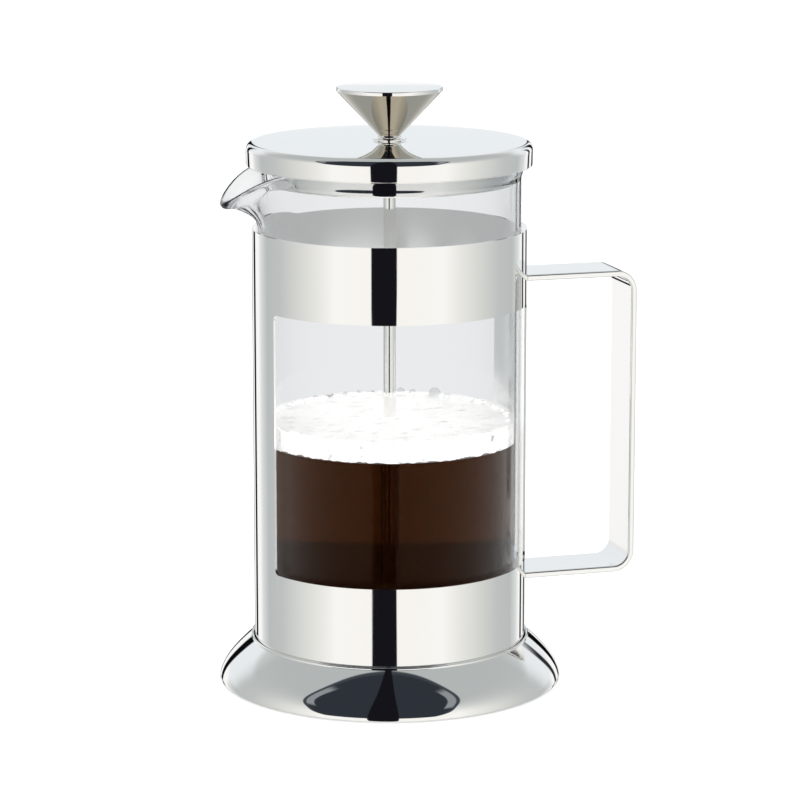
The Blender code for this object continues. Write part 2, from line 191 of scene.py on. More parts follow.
def lathe(name, section, steps=192):
    """Draw a section point by point from one vertex, and spin it about the upright axis.

    A section that starts on the axis is left open there; any other is closed into a loop.
    """
    if section[0][0] > 0.0:
        section = [*section, section[0]]
    first = Vector((section[0][0], 0.0, section[0][1]))
    piece = begin(name, bpy.ops.mesh.primitive_plane_add, size=0.001, location=first)
    bpy.ops.mesh.merge(type="CENTER")
    for (radius, height), (next_radius, next_height) in zip(section, section[1:]):
        move = (next_radius - radius, 0.0, next_height - height)
        bpy.ops.mesh.extrude_region_move(TRANSFORM_OT_translate={"value": move})
    bpy.ops.mesh.select_all(action="SELECT")
    bpy.ops.mesh.remove_doubles(threshold=1e-7)
    bpy.ops.mesh.spin(
        steps=steps, angle=2.0 * math.pi, center=(0.0, 0.0, 0.0), axis=(0.0, 0.0, 1.0)
    )
    bpy.ops.mesh.select_all(action="SELECT")
    bpy.ops.mesh.remove_doubles(threshold=1e-6)
    bpy.ops.mesh.normals_make_consistent(inside=False)
    return close_up(piece)


def fit(piece, material, slot, body, *nodes):
    """Give a finished piece its material, its body and the CAD pieces that it stands for."""
    piece.data.materials.append(material)
    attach(piece, body)
    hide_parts(*nodes)


skirt_low, skirt_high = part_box("base_skirt")
sleeve_low, sleeve_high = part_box("frame_sleeve")
foot_radius = skirt_high.y
sleeve_radius = sleeve_high.y
foot_sheet = 0.0009
roll = 0.0006  # radius of the collar's rolled lip
collar_radius = sleeve_radius + 0.0003 + roll
collar_top = skirt_high.z
hem_inner = foot_radius - 0.0057
shoulder = 0.0016  # radius where the cone turns down into the hem
hem_edge = 0.0005
cone_rows = 30
cone_lean = 50.0  # degrees out from straight down, at the collar
cone_ease = 12.0  # degrees lost evenly down the cone
cone_turn = 22.0  # degrees lost mostly near the hem


def domed_cone(top, bottom):
    """The cone's outer face: it leaves the collar flat and steepens all the way to the hem."""
    line = [Vector((0.0, 0.0))]
    for row in range(cone_rows):
        share = (row + 0.5) / cone_rows
        tilt = math.radians(cone_lean - cone_ease * share - cone_turn * share**4)
        line.append(line[-1] + Vector((math.sin(tilt), -math.cos(tilt))) / cone_rows)
    span = bottom - top
    return [(top.x + span.x * p.x / line[-1].x, top.y + span.y * p.y / line[-1].y) for p in line]


def foot_section():
    """The collar's roll, the domed cone, the shoulder and the hem, then back up inside."""
    neck = Vector((collar_radius + roll * 0.8, collar_top - roll * 1.5))
    centre = (foot_radius - shoulder, skirt_low.z + 0.0010)
    brow = Vector(corner(centre, shoulder, 18.0, 18.0, 1)[0])
    under = foot_radius - foot_sheet
    return (
        corner((collar_radius, collar_top - roll), roll, 180.0, -20.0, 8)
        + domed_cone(neck, brow)
        + corner(centre, shoulder, 12.0, 0.0, 3)
        + corner((foot_radius - hem_edge, skirt_low.z + hem_edge), hem_edge, 0.0, -90.0, 4)
        + [(hem_inner, skirt_low.z), (hem_inner, skirt_low.z + foot_sheet)]
        + [(under, skirt_low.z + foot_sheet), (under, skirt_low.z + foot_sheet * 2.0)]
        + [(collar_radius - 0.0003, collar_top - 0.0014)]
    )


foot = lathe("flared_foot", foot_section(), steps=256)
fit(foot, polished, "polished_steel", "frame", "base_skirt")

# --- Sleeve -------------------------------------------------------------------
# A drawn stainless tube holds the glass. Two windows are punched in it, which leaves an upper
# ring, a lower band and a strut at each side. Outside it is a mirror; inside it is pale grey and
# glows a little with painted light.

sleeve_wall = 0.0008
window_bottom = 0.0465
window_top = 0.1438
strut_half_angle = math.radians(17.6)
window_corner = 0.0020
cutter_depth = 0.008
sheet_edge = 0.00012  # the punched edges are just broken with a file


def window_cutter():
    """A rounded block, swept round the axis, for each of the two windows."""
    height = window_top - window_bottom
    cutter = begin(
        "window_cutter",
        bpy.ops.mesh.primitive_plane_add,
        size=1.0,
        location=(0.0, 0.0, 0.0),
        rotation=(math.pi / 2.0, 0.0, 0.0),
    )
    bpy.ops.transform.resize(value=(cutter_depth, 1.0, height))
    bpy.ops.transform.translate(value=(sleeve_radius, 0.0, window_bottom + height / 2.0))
    window = math.pi - 2.0 * strut_half_angle
    bpy.ops.mesh.spin(steps=96, angle=window, center=(0.0, 0.0, 0.0), axis=(0.0, 0.0, 1.0))
    bpy.ops.mesh.select_all(action="SELECT")
    bpy.ops.mesh.remove_doubles(threshold=1e-7)
    bpy.ops.mesh.normals_make_consistent(inside=False)
    bpy.ops.object.mode_set(mode="OBJECT")
    bpy.ops.object.transform_apply(location=True, rotation=True, scale=True)
    ends = [max(math.atan2(v.co.y, v.co.x) for v in cutter.data.vertices)]
    ends.append(min(math.atan2(v.co.y, v.co.x) for v in cutter.data.vertices))
    bpy.ops.object.mode_set(mode="EDIT")
    bpy.ops.mesh.select_all(action="DESELECT")
    bpy.ops.object.mode_set(mode="OBJECT")
    points = cutter.data.vertices
    for edge in cutter.data.edges:
        one, other = (points[index].co for index in edge.vertices)
        radial = abs(one.xy.length - other.xy.length) > cutter_depth / 2.0
        edge.select = radial and min(abs(math.atan2(one.y, one.x) - end) for end in ends) < 0.001
    bpy.ops.object.mode_set(mode="EDIT")
    bpy.ops.mesh.bevel(offset=window_corner, segments=8, affect="EDGES")
    bpy.ops.mesh.select_all(action="SELECT")
    middle = (ends[0] + ends[1]) / 2.0
    turn = Matrix.Rotation(math.pi / 2.0 - middle, 4, "Z")
    bpy.ops.object.mode_set(mode="OBJECT")
    cutter.data.transform(turn)
    bpy.ops.object.mode_set(mode="EDIT")
    bpy.ops.mesh.select_all(action="SELECT")
    bpy.ops.mesh.duplicate()
    bpy.ops.transform.rotate(value=math.pi, orient_axis="Z", center_override=(0.0, 0.0, 0.0))
    bpy.ops.object.mode_set(mode="OBJECT")
    return cutter


def apply_all(piece):
    """Apply a piece's modifiers in order."""
    bpy.ops.object.select_all(action="DESELECT")
    piece.select_set(True)
    bpy.context.view_layer.objects.active = piece
    for modifier in list(piece.modifiers):
        bpy.ops.object.modifier_apply(modifier=modifier.name)


def cut_away(piece, cutter):
    """Cut one closed shape out of another and throw the cutter away."""
    boolean = piece.modifiers.new("cut", "BOOLEAN")
    boolean.operation = "DIFFERENCE"
    boolean.use_self = True
    boolean.use_hole_tolerant = True
    boolean.object = cutter
    apply_all(piece)
    bpy.data.objects.remove(cutter)


def break_edges(piece, width, segments=2, angle=40.0):
    """Round a piece's sharp edges a little."""
    bevel = piece.modifiers.new("edges", "BEVEL")
    bevel.width = width
    bevel.segments = segments
    bevel.limit_method = "ANGLE"
    bevel.angle_limit = math.radians(angle)
    bevel.harden_normals = True
    bpy.ops.object.shade_smooth_by_angle(angle=math.radians(30.0))
    apply_all(piece)


def punched_sleeve():
    """A length of tube with the two windows cut out and the cut edges broken."""
    tube = [
        (sleeve_radius - sleeve_wall, sleeve_low.z),
        (sleeve_radius, sleeve_low.z),
        (sleeve_radius, sleeve_high.z),
        (sleeve_radius - sleeve_wall, sleeve_high.z),
    ]
    sleeve = lathe("window_sleeve", tube, steps=256)
    cut_away(sleeve, window_cutter())
    break_edges(sleeve, sheet_edge)
    return sleeve


def etched_steel():
    """Stainless steel, pickled and left unpolished: a pale grey, lit by a faint painted glow."""
    made, tree, shader, place = new_finish(
        "etched_steel",
        # The emission here is painted light: the inner wall glows though it is no lamp.
        {"Base Color": hex_colour("#F1F1EE"), "Metallic": 0.85, "Emission Strength": 0.30},
    )
    clouds = add_node(tree, "ShaderNodeTexNoise", {"Scale": 30.0, "Detail": 3.0}, {"Vector": place})
    rough = add_node(
        tree, "ShaderNodeMapRange", {"To Min": 0.18, "To Max": 0.26}, {"Value": clouds.outputs["Fac"]}
    )
    tree.links.new(rough.outputs["Result"], shader.inputs["Roughness"])
    return made


sleeve = punched_sleeve()
fit(sleeve, polished, "polished_steel", "frame", "frame_sleeve")
# The sleeve's inner faces get the etched steel with its painted glow.
sleeve.data.materials.append(etched_steel())
for face in sleeve.data.polygons:
    if face.normal.xy.dot(face.center.xy) < 0.0 and abs(face.normal.z) < 0.1:
        face.material_index = 1

# --- Beaker seat --------------------------------------------------------------
# A cup of grey silicone, moulded in one piece, lies in the bottom of the sleeve. It cushions the
# glass, and its lip keeps the glass from touching the steel.


def moulded_silicone():
    """Silicone rubber, moulded: a dull grey skin with the faint texture of an eroded mould."""
    made, tree, shader, place = new_finish("moulded_silicone", {"Base Color": hex_colour("#7C7D80")})
    grain = add_node(tree, "ShaderNodeTexNoise", {"Scale": 1400.0, "Detail": 2.0}, {"Vector": place})
    rough = add_node(
        tree, "ShaderNodeMapRange", {"To Min": 0.45, "To Max": 0.65}, {"Value": grain.outputs["Fac"]}
    )
    bump = add_node(
        tree, "ShaderNodeBump", {"Strength": 0.3, "Distance": 0.0001}, {"Height": grain.outputs["Fac"]}
    )
    tree.links.new(rough.outputs["Result"], shader.inputs["Roughness"])
    tree.links.new(bump.outputs["Normal"], shader.inputs["Normal"])
    return made


dress("beaker_seat", moulded_silicone())

# --- Handle -------------------------------------------------------------------
# One flat stainless bar is bent to a C, its long edges are rounded over, its ends are shaped to
# the tube and spot-welded to the strut, and the whole is buffed with the sleeve.

handle_low, handle_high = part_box("handle")
bar_width = handle_high.y - handle_low.y
bar_thickness = 0.0023
bend_radius = 0.0080
bar_edge = 0.0007
bar_overrun = 0.006  # how far the bar starts inside the tube's face, before it is cut to it


def bent_bar():
    """Push the bar's end face along its route: out, round, down, round and back in."""
    start = sleeve_radius - bar_overrun
    bend_x = handle_high.x - bend_radius
    upper_bend = (bend_x, 0.0, handle_high.z - bend_radius)
    lower_bend = (bend_x, 0.0, handle_low.z + bend_radius)
    bar = begin(
        "bar_handle",
        bpy.ops.mesh.primitive_plane_add,
        size=1.0,
        location=(0.0, 0.0, 0.0),
        rotation=(0.0, math.pi / 2.0, 0.0),
    )
    bpy.ops.transform.resize(value=(1.0, bar_width, bar_thickness))
    bpy.ops.transform.translate(value=(start, 0.0, handle_high.z - bar_thickness / 2.0))
    run = (bend_x - start, 0.0, 0.0)
    drop = (0.0, 0.0, lower_bend[2] - upper_bend[2])
    back = (start - bend_x, 0.0, 0.0)
    for move, bend in ((run, upper_bend), (drop, lower_bend), (back, None)):
        bpy.ops.mesh.extrude_region_move(TRANSFORM_OT_translate={"value": move})
        if bend:
            bpy.ops.mesh.spin(steps=14, angle=-math.pi / 2.0, center=bend, axis=(0.0, 1.0, 0.0))
    bpy.ops.mesh.select_all(action="SELECT")
    bpy.ops.mesh.remove_doubles(threshold=1e-6)
    bpy.ops.mesh.normals_make_consistent(inside=False)
    close_up(bar)
    face = sleeve_radius + 0.0002
    tube = [(0.0, 0.0), (face, 0.0), (face, 0.2), (0.0, 0.2)]
    cut_away(bar, lathe("tube_cutter", tube))
    break_edges(bar, bar_edge, segments=3)
    return bar


bar = bent_bar()
fit(bar, polished, "polished_steel", "frame", "handle")

# --- Glass beaker -------------------------------------------------------------
# The beaker is blown from borosilicate glass and fire-polished: an even wall that thickens to a
# round bead at the rim, with a pouring spout drawn out and down while the glass was soft.

glass_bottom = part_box("glass_beaker")[0].z
glass_radius = 0.0488
glass_top = 0.1949
glass_wall = 0.0018
glass_floor = 0.0026
glass_corner = 0.0070
bead_thickness = 0.0030
bead_height = 0.0048
spout_root = 0.1695
spout_reach = 0.0154
spout_drop = 0.0128
spout_half_angle = math.radians(28.0)


def beaker_section():
    """From the middle of the floor out, up the wall, over the bead and back down inside."""
    rows = 18
    bead_root = glass_top - bead_height
    heights = [spout_root + (bead_root - spout_root) * row / rows for row in range(rows)]
    swell = (bead_thickness - glass_wall) / 2.0
    crown = (glass_radius - glass_wall / 2.0, glass_top - bead_thickness / 2.0)
    outside = [(glass_radius, height) for height in heights]
    inside = [(glass_radius - glass_wall, height) for height in reversed(heights)]
    for step in range(5):
        share = step / 5.0
        smooth = share * share * (3.0 - 2.0 * share)
        height = bead_root + (crown[1] - bead_root) * share
        outside.append((glass_radius + swell * smooth, height))
        inside.insert(0, (glass_radius - glass_wall - swell * smooth, height))
    low = (glass_radius - glass_corner, glass_bottom + glass_corner)
    inner = glass_corner - glass_wall
    inner_low = (glass_radius - glass_corner, glass_bottom + glass_floor + inner)
    return (
        [(0.0, glass_bottom)]
        + corner(low, glass_corner, -90.0, 0.0, 8)
        + outside
        + corner(crown, bead_thickness / 2.0, 0.0, 180.0, 12)
        + inside
        + corner(inner_low, inner, 0.0, -90.0, 8)
        + [(0.0, glass_bottom + glass_floor)]
    )


def spout_share(angle):
    """How far a direction belongs to the spout: 1 along -X, falling smoothly to 0 at its sides."""
    away = abs(math.remainder(angle - math.pi, 2.0 * math.pi))
    if away >= spout_half_angle:
        return 0.0
    return (0.5 + 0.5 * math.cos(math.pi * away / spout_half_angle)) ** 0.9


def drawn_out(height, share):
    """Where a point of the outer wall goes as the soft glass is pulled out and down."""
    rise = max(0.0, (height - spout_root) / (glass_top - spout_root))
    radius = glass_radius + spout_reach * share * rise**2
    return Vector((radius, height - spout_drop * share**1.7 * rise**1.6))


def draw_spout(beaker):
    """Carry each point of the wall with the outer surface, square to it, so the wall stays even."""
    for vertex in beaker.data.vertices:
        height = vertex.co.z
        angle = math.atan2(vertex.co.y, vertex.co.x)
        share = spout_share(angle)
        if height <= spout_root or share == 0.0:
            continue
        within = glass_radius - vertex.co.xy.length
        point = drawn_out(height, share)
        slope = (drawn_out(height + 0.0002, share) - drawn_out(height - 0.0002, share)).normalized()
        moved = point + Vector((-slope.y, slope.x)) * within
        vertex.co = (moved.x * math.cos(angle), moved.x * math.sin(angle), moved.y)


def blown_glass():
    """Borosilicate glass, blown: clear, faintly blue along its edges."""
    made, tree, shader, place = new_finish(
        "blown_glass",
        {
            "Base Color": hex_colour("#FFFFFF"),
            "IOR": 1.473,
            "Transmission Weight": 1.0,
            "Specular Tint": hex_colour("#2C2E30"),
        },
    )
    film = add_node(tree, "ShaderNodeTexNoise", {"Scale": 30.0, "Detail": 2.0}, {"Vector": place})
    rough = add_node(
        tree, "ShaderNodeMapRange", {"To Min": 0.0, "To Max": 0.012}, {"Value": film.outputs["Fac"]}
    )
    tree.links.new(rough.outputs["Result"], shader.inputs["Roughness"])
    body = add_node(
        tree, "ShaderNodeVolumeAbsorption", {"Color": hex_colour("#A6AFB5"), "Density": 88.0}
    )
    tree.links.new(body.outputs["Volume"], tree.nodes["Material Output"].inputs["Volume"])
    return made


beaker = lathe("blown_beaker", beaker_section(), steps=240)
draw_spout(beaker)
fit(beaker, blown_glass(), "clear_glass", "beaker", "glass_beaker")

# --- Coffee -------------------------------------------------------------------
# The beaker is a bit under half full of brewed coffee. The pressed filter lies below it, and the
# rod stands in it. It is a clear brown liquid, too deep to see far into.

rod_low, rod_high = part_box("plunger_rod")
rod_radius = rod_high.y
rod_gap = 0.0003  # room between the rod and what it passes through
coffee_radius = glass_radius - glass_wall - 0.0002
coffee_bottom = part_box("lock_nut")[1].z + 0.0003
coffee_top = 0.0925
coffee_turn = 0.0010


def brewed_coffee():
    """Coffee, filtered: light dies in it within centimetres, blue first and red last."""
    made, tree, shader, place = new_finish(
        "brewed_coffee",
        {
            "Base Color": hex_colour("#FFFFFF"),
            "IOR": 1.333,
            "Transmission Weight": 1.0,
            "Specular Tint": hex_colour("#CB8F70"),
        },
    )
    oil = add_node(tree, "ShaderNodeTexNoise", {"Scale": 55.0, "Detail": 3.0}, {"Vector": place})
    rough = add_node(
        tree, "ShaderNodeMapRange", {"To Min": 0.0, "To Max": 0.03}, {"Value": oil.outputs["Fac"]}
    )
    tree.links.new(rough.outputs["Result"], shader.inputs["Roughness"])
    depth = add_node(
        tree, "ShaderNodeVolumeAbsorption", {"Color": hex_colour("#CEB89D"), "Density": 100.0}
    )
    tree.links.new(depth.outputs["Volume"], tree.nodes["Material Output"].inputs["Volume"])
    return made


def coffee_section():
    """A plain ring of liquid: it wets the glass outside and the rod inside."""
    inner = rod_radius + rod_gap
    centre = (coffee_radius - coffee_turn, coffee_bottom + coffee_turn)
    return [
        (inner, coffee_bottom),
        (coffee_radius - coffee_turn, coffee_bottom),
        *corner(centre, coffee_turn, -90.0, 0.0, 4),
        (coffee_radius, coffee_top),
        (inner, coffee_top),
    ]


coffee = lathe("coffee", coffee_section(), steps=160)
coffee.data.materials.append(brewed_coffee())
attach(coffee, "beaker")

# --- Foam ---------------------------------------------------------------------
# Pale froth floats on the coffee, a finger's width thick. It clings to the glass, where larger
# bubbles gather, and its underside is ragged where bubbles hang into the coffee.

foam_radius = coffee_radius
foam_top = 0.0997
foam_bottom = coffee_top + 0.0002
foam_rings = 22


def whipped_foam():
    """Milky froth: bright white, pitted by bubbles too small to tell apart, with grey wet streaks; its
    colour also glows as painted light.
    """
    made, tree, shader, place = new_finish(
        "whipped_foam", {"Roughness": 0.55, "Emission Strength": 0.62}
    )
    stretch = add_node(
        tree,
        "ShaderNodeMapping",
        {"Scale": (0.35, 1.6, 1.0), "Rotation": (0.0, 0.0, math.radians(-16.6))},
        {"Vector": place},
    )
    streaks = add_node(
        tree,
        "ShaderNodeTexNoise",
        {"Scale": 420.0, "Detail": 4.0, "Distortion": 0.8},
        {"Vector": stretch.outputs["Vector"]},
    )
    wet = add_node(
        tree,
        "ShaderNodeMapRange",
        {"From Min": 0.58, "From Max": 0.70},
        {"Value": streaks.outputs["Fac"]},
    )
    colour = add_node(
        tree,
        "ShaderNodeMix",
        {"data_type": "RGBA", 6: hex_colour("#FFFEFC"), 7: hex_colour("#BDBCB9")},
        {0: wet.outputs["Result"]},
    )
    cells = add_node(tree, "ShaderNodeTexVoronoi", {"Scale": 1300.0}, {"Vector": place})
    bump = add_node(
        tree,
        "ShaderNodeBump",
        {"Strength": 0.35, "Distance": 0.0003},
        {"Height": cells.outputs["Distance"]},
    )
    tree.links.new(colour.outputs[2], shader.inputs["Base Color"])
    # The froth's colour feeds its emission: painted light, so the foam glows though it is no lamp.
    tree.links.new(colour.outputs[2], shader.inputs["Emission Color"])
    tree.links.new(bump.outputs["Normal"], shader.inputs["Normal"])
    return made


def foam_section():
    """A thick disc that rises a little at the glass and at the rod."""
    inner = rod_radius + rod_gap
    top = []
    for ring in range(foam_rings + 1):
        radius = foam_radius + (inner - foam_radius) * ring / foam_rings
        cling = 0.0011 * math.exp(-(foam_radius - radius) / 0.0014)
        cling += 0.0006 * math.exp(-(radius - inner) / 0.0012)
        top.append((radius, foam_top + cling))
    side = [(foam_radius, foam_bottom + (foam_top - foam_bottom) * row / 6.0) for row in range(6)]
    return [(inner, foam_bottom), (foam_radius - 0.0012, foam_bottom)] + side + top


def ruffle(foam):
    """Let the top swell and sink a little, and the lower edge hang in small teeth."""
    for vertex in foam.data.vertices:
        place = vertex.co.copy()
        if place.z > foam_top - 0.0002:
            vertex.co.z += 0.0005 * noise.noise(place * 110.0) + 0.00025 * noise.noise(place * 420.0)
        elif place.xy.length > foam_radius - 0.0005 and place.z < foam_bottom + 0.0003:
            hang = noise.noise(place * 260.0) + 0.8 * noise.noise(place * 900.0)
            vertex.co.z += 0.0009 * max(hang, -0.2)


froth = whipped_foam()
foam = lathe("foam", foam_section(), steps=320)
ruffle(foam)
foam.data.materials.append(froth)
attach(foam, "beaker")

# --- Bubbles ------------------------------------------------------------------
# Bubbles crowd at the rim of the foam. Small ones are white with froth; a few large ones at the
# far side are clear films that show the light behind them.

speck_count = 190
speck_sizes = (0.0003, 0.00085)  # smallest and largest radius
film_bearings = (96.0, 89.0, 82.5, 75.0, 68.0, 62.0, 58.0, 50.0, 44.0, 105.0, 113.0, 121.0)
film_radii = (11.0, 13.0, 11.0, 17.0, 19.0, 15.0, 8.0, 24.0, 12.0, 10.0, 12.0, 9.0)  # tenths of mm


def bubble(name, radius, place, detail):
    """One bubble, set half into the foam."""
    bpy.ops.object.select_all(action="DESELECT")
    bpy.ops.mesh.primitive_ico_sphere_add(subdivisions=detail, radius=radius, location=place)
    made = bpy.context.object
    made.name = name
    bpy.ops.object.transform_apply(location=True, rotation=True, scale=True)
    bpy.ops.object.shade_smooth()
    return made


def joined(name, parts):
    """Several parts as one piece."""
    bpy.ops.object.select_all(action="DESELECT")
    for part in parts:
        part.select_set(True)
    bpy.context.view_layer.objects.active = parts[0]
    bpy.ops.object.join()
    parts[0].name = name
    return parts[0]


def clear_film():
    """A soap-thin film of coffee: nearly clear, a shade darker than the froth round it."""
    made, tree, shader, place = new_finish(
        "bubble_film", {"IOR": 1.04, "Transmission Weight": 1.0, "Roughness": 0.08}
    )
    swirl = add_node(tree, "ShaderNodeTexNoise", {"Scale": 500.0, "Distortion": 2.0}, {"Vector": place})
    tint = add_node(
        tree,
        "ShaderNodeMix",
        {"data_type": "RGBA", 6: hex_colour("#F2F3F3"), 7: hex_colour("#DDE0E1")},
        {0: swirl.outputs["Fac"]},
    )
    tree.links.new(tint.outputs[2], shader.inputs["Base Color"])
    return made


def rim_bubbles():
    """Small frothy bubbles all round the glass, thickest at the far side."""
    chance = random.Random(7)
    parts = []
    for index in range(speck_count):
        angle = math.radians(chance.gauss(73.0, 75.0))
        radius = chance.uniform(*speck_sizes)
        inward = radius + 0.0003 + abs(chance.gauss(0.0, 0.0008))
        reach = foam_radius - inward
        height = foam_top + 0.0003 + 0.4 * radius
        parts.append(
            bubble("speck", radius, (reach * math.cos(angle), reach * math.sin(angle), height), 2)
        )
    return joined("rim_froth", parts)


def large_bubbles():
    """The big films, each touching the glass at the far side."""
    parts = []
    for bearing, tenths in zip(film_bearings, film_radii):
        angle = math.radians(bearing)
        radius = tenths / 10000.0
        reach = foam_radius - radius - 0.0004
        place = (reach * math.cos(angle), reach * math.sin(angle), foam_top + 0.55 * radius)
        parts.append(bubble("film", radius, place, 3))
    return joined("rim_bubbles", parts)


specks = rim_bubbles()
# The small bubbles share the froth's painted glow.
specks.data.materials.append(froth)
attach(specks, "beaker")
films = large_bubbles()
films.data.materials.append(clear_film())
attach(films, "beaker")

# --- Filter hub ---------------------------------------------------------------
# The filter is a stack screwed to the rod's end. It hangs on a turned steel hub, closed below, with
# a thin flange that carries the other parts.

hub_foot_radius = 0.0033
hub_foot_round = 0.0012
hub_neck_radius = 0.0034
hub_shoulder_radius = 0.0045
hub_flange = 0.0007
hub_depth = 0.0032  # from the hub's foot up to its flange


def filter_hub():
    """A rounded foot, a flange and a neck, with a blind bore for the rod's end."""
    low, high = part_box("cross_plate_hub")
    bore = rod_radius + rod_gap
    end = rod_low.z - rod_gap
    flange = low.z + hub_depth
    foot_centre = (hub_foot_radius, low.z + hub_foot_round)
    return lathe(
        "filter_hub",
        [(0.0, low.z), (0.0030, low.z)]
        + corner(foot_centre, hub_foot_round, -90.0, 0.0, 5)
        + [(hub_shoulder_radius, flange), (high.y, flange), (high.y, flange + hub_flange)]
        + [(hub_neck_radius, flange + hub_flange), (hub_neck_radius, high.z)]
        + [(bore, high.z), (bore, end), (0.0, end)],
        steps=64,
    )


fit(filter_hub(), polished, "satin_steel", "plunger", "cross_plate_hub")

# --- Punched plate ------------------------------------------------------------
# A flat disc of stainless sheet backs the screen from below. Three rings of round holes are
# punched in it, and it keeps the satin of the lathe.

plate_bore = 0.0037
plate_hole_radius = 0.0034
plate_holes = ((0.0130, 6), (0.0245, 12), (0.0365, 18))  # circle radius and count


def punch(disc, circles, radius, bottom, top):
    """Punch rings of round holes, given as (circle radius, count)."""
    punches = []
    for circle, count in circles:
        for index in range(count):
            angle = 2.0 * math.pi * index / count
            bpy.ops.object.select_all(action="DESELECT")
            bpy.ops.mesh.primitive_cylinder_add(
                vertices=28,
                radius=radius,
                depth=top - bottom + 0.002,
                location=(circle * math.cos(angle), circle * math.sin(angle), (top + bottom) / 2.0),
            )
            bpy.ops.object.transform_apply(location=True, rotation=True, scale=True)
            punches.append(bpy.context.object)
    cut_away(disc, joined("punches", punches))
    bpy.ops.object.shade_smooth_by_angle(angle=math.radians(30.0))


def punched_plate():
    """A flat ring of sheet with its three rings of holes."""
    low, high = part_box("cross_plate")
    section = [(plate_bore, low.z), (high.y, low.z), (high.y, high.z), (plate_bore, high.z)]
    plate = lathe("punched_plate", section, steps=160)
    punch(plate, plate_holes, plate_hole_radius, low.z, high.z)
    return plate


fit(punched_plate(), satin, "satin_steel", "plunger", "cross_plate")

# --- Woven screen -------------------------------------------------------------
# The screen is fine stainless wire cloth, cut round and pressed so that its rim stands up against
# the glass. Its weave holds the grounds back.

screen_sheet = 0.0003
screen_turn = 0.0010


def woven_steel():
    """Stainless wire, woven: drawn with threads 0.6 mm apart, coarser than real, so that it shows."""
    made, tree, shader, place = new_finish("woven_steel", {"Metallic": 1.0, "Roughness": 0.38})
    threads = []
    for direction in ("X", "Y"):
        wave = add_node(
            tree,
            "ShaderNodeTexWave",
            {"bands_direction": direction, "Scale": 520.0},
            {"Vector": place},
        )
        threads.append(wave.outputs["Fac"])
    weave = add_node(tree, "ShaderNodeMath", {"operation": "MULTIPLY"}, {0: threads[0], 1: threads[1]})
    colour = add_node(
        tree,
        "ShaderNodeMix",
        {"data_type": "RGBA", 6: hex_colour("#D6D5D0"), 7: hex_colour("#6B6A66")},
        {0: weave.outputs["Value"]},
    )
    bump = add_node(
        tree,
        "ShaderNodeBump",
        {"Strength": 0.6, "Distance": 0.0001},
        {"Height": weave.outputs["Value"]},
    )
    tree.links.new(colour.outputs[2], shader.inputs["Base Color"])
    tree.links.new(bump.outputs["Normal"], shader.inputs["Normal"])
    return made


def woven_screen():
    """A disc of the cloth with its rim turned up."""
    low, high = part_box("filter_mesh")
    centre = (high.y - screen_turn, low.z + screen_turn)
    bore = rod_radius + rod_gap
    return lathe(
        "woven_screen",
        [(bore, low.z)]
        + corner(centre, screen_turn, -90.0, 0.0, 6)
        + [(high.y, high.z), (high.y - screen_sheet, high.z)]
        + corner(centre, screen_turn - screen_sheet, 0.0, -90.0, 6)
        + [(bore, low.z + screen_sheet)],
        steps=160,
    )


fit(woven_screen(), woven_steel(), "filter_mesh", "plunger", "filter_mesh")

# --- Coil spring --------------------------------------------------------------
# Fine stainless wire, wound into a long coil and closed on itself, presses the screen's rim to
# the glass all the way round.

wire_radius = 0.00028
spring_turns = 120
points_a_turn = 10


def coil_spring():
    """A curve that goes round the coil as it goes round the ring, given a round wire."""
    low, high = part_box("filter_spring")
    coil = (high.z - low.z) / 2.0 - wire_radius
    ring = high.y - (high.z - low.z) / 2.0
    line = bpy.data.curves.new("coil_spring", "CURVE")
    line.dimensions = "3D"
    line.bevel_depth = wire_radius
    line.bevel_resolution = 1
    spline = line.splines.new("POLY")
    spline.points.add(spring_turns * points_a_turn - 1)
    for index, point in enumerate(spline.points):
        round_ring = 2.0 * math.pi * index / len(spline.points)
        round_coil = 2.0 * math.pi * index / points_a_turn
        reach = ring + coil * math.cos(round_coil)
        height = (low.z + high.z) / 2.0 + coil * math.sin(round_coil)
        point.co = (reach * math.cos(round_ring), reach * math.sin(round_ring), height, 1.0)
    spline.use_cyclic_u = True
    spring = bpy.data.objects.new("coil_spring", line)
    bpy.context.collection.objects.link(spring)
    bpy.ops.object.select_all(action="DESELECT")
    spring.select_set(True)
    bpy.context.view_layer.objects.active = spring
    bpy.ops.object.convert(target="MESH")
    bpy.ops.object.shade_smooth()
    return bpy.context.object


fit(coil_spring(), polished, "satin_steel", "plunger", "filter_spring")

# --- Spring dish --------------------------------------------------------------
# A stiff dish pressed from stainless sheet holds the spring in from above. Two rings of wide
# holes let the coffee through. A washer and a nut clamp the stack to the rod.

dish_sheet = 0.0008
dish_turn = 0.0010
dish_hole_radius = 0.0045
dish_holes = ((0.0160, 6), (0.0300, 10))


def spring_dish():
    """A shallow dish with its rim turned up, punched."""
    low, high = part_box("spiral_plate")
    bore = rod_radius + rod_gap
    centre = (high.y - dish_turn, low.z + dish_turn)
    dish = lathe(
        "spring_dish",
        [(bore, low.z)]
        + corner(centre, dish_turn, -90.0, 0.0, 5)
        + [(high.y, high.z), (high.y - dish_sheet, high.z)]
        + corner(centre, dish_turn - dish_sheet, 0.0, -90.0, 3)
        + [(bore, low.z + dish_sheet)],
        steps=160,
    )
    punch(dish, dish_holes, dish_hole_radius, low.z, low.z + dish_sheet)
    return dish


fit(spring_dish(), satin, "satin_steel", "plunger", "spiral_plate")
dress("clamp_washer", satin)
dress("lock_nut", satin)

# --- Lid cap ------------------------------------------------------------------
# The cap is pressed from stainless sheet, with a full round edge and a hem rolled in at the
# bottom, and buffed to a mirror. It has a hole in the middle for the rod's guide.

cap_low, cap_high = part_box("lid_cover")
cap_radius = cap_high.y
cap_sheet = 0.0008
cap_edge = 0.0030
cap_hole = rod_radius + 0.0020
cap_fall = 0.00035  # how much lower the crown is where the edge begins to turn


def crown(share):
    """How far the cap has fallen, from halfway out (0) to where its edge begins to turn (1)."""
    return cap_fall * share**3


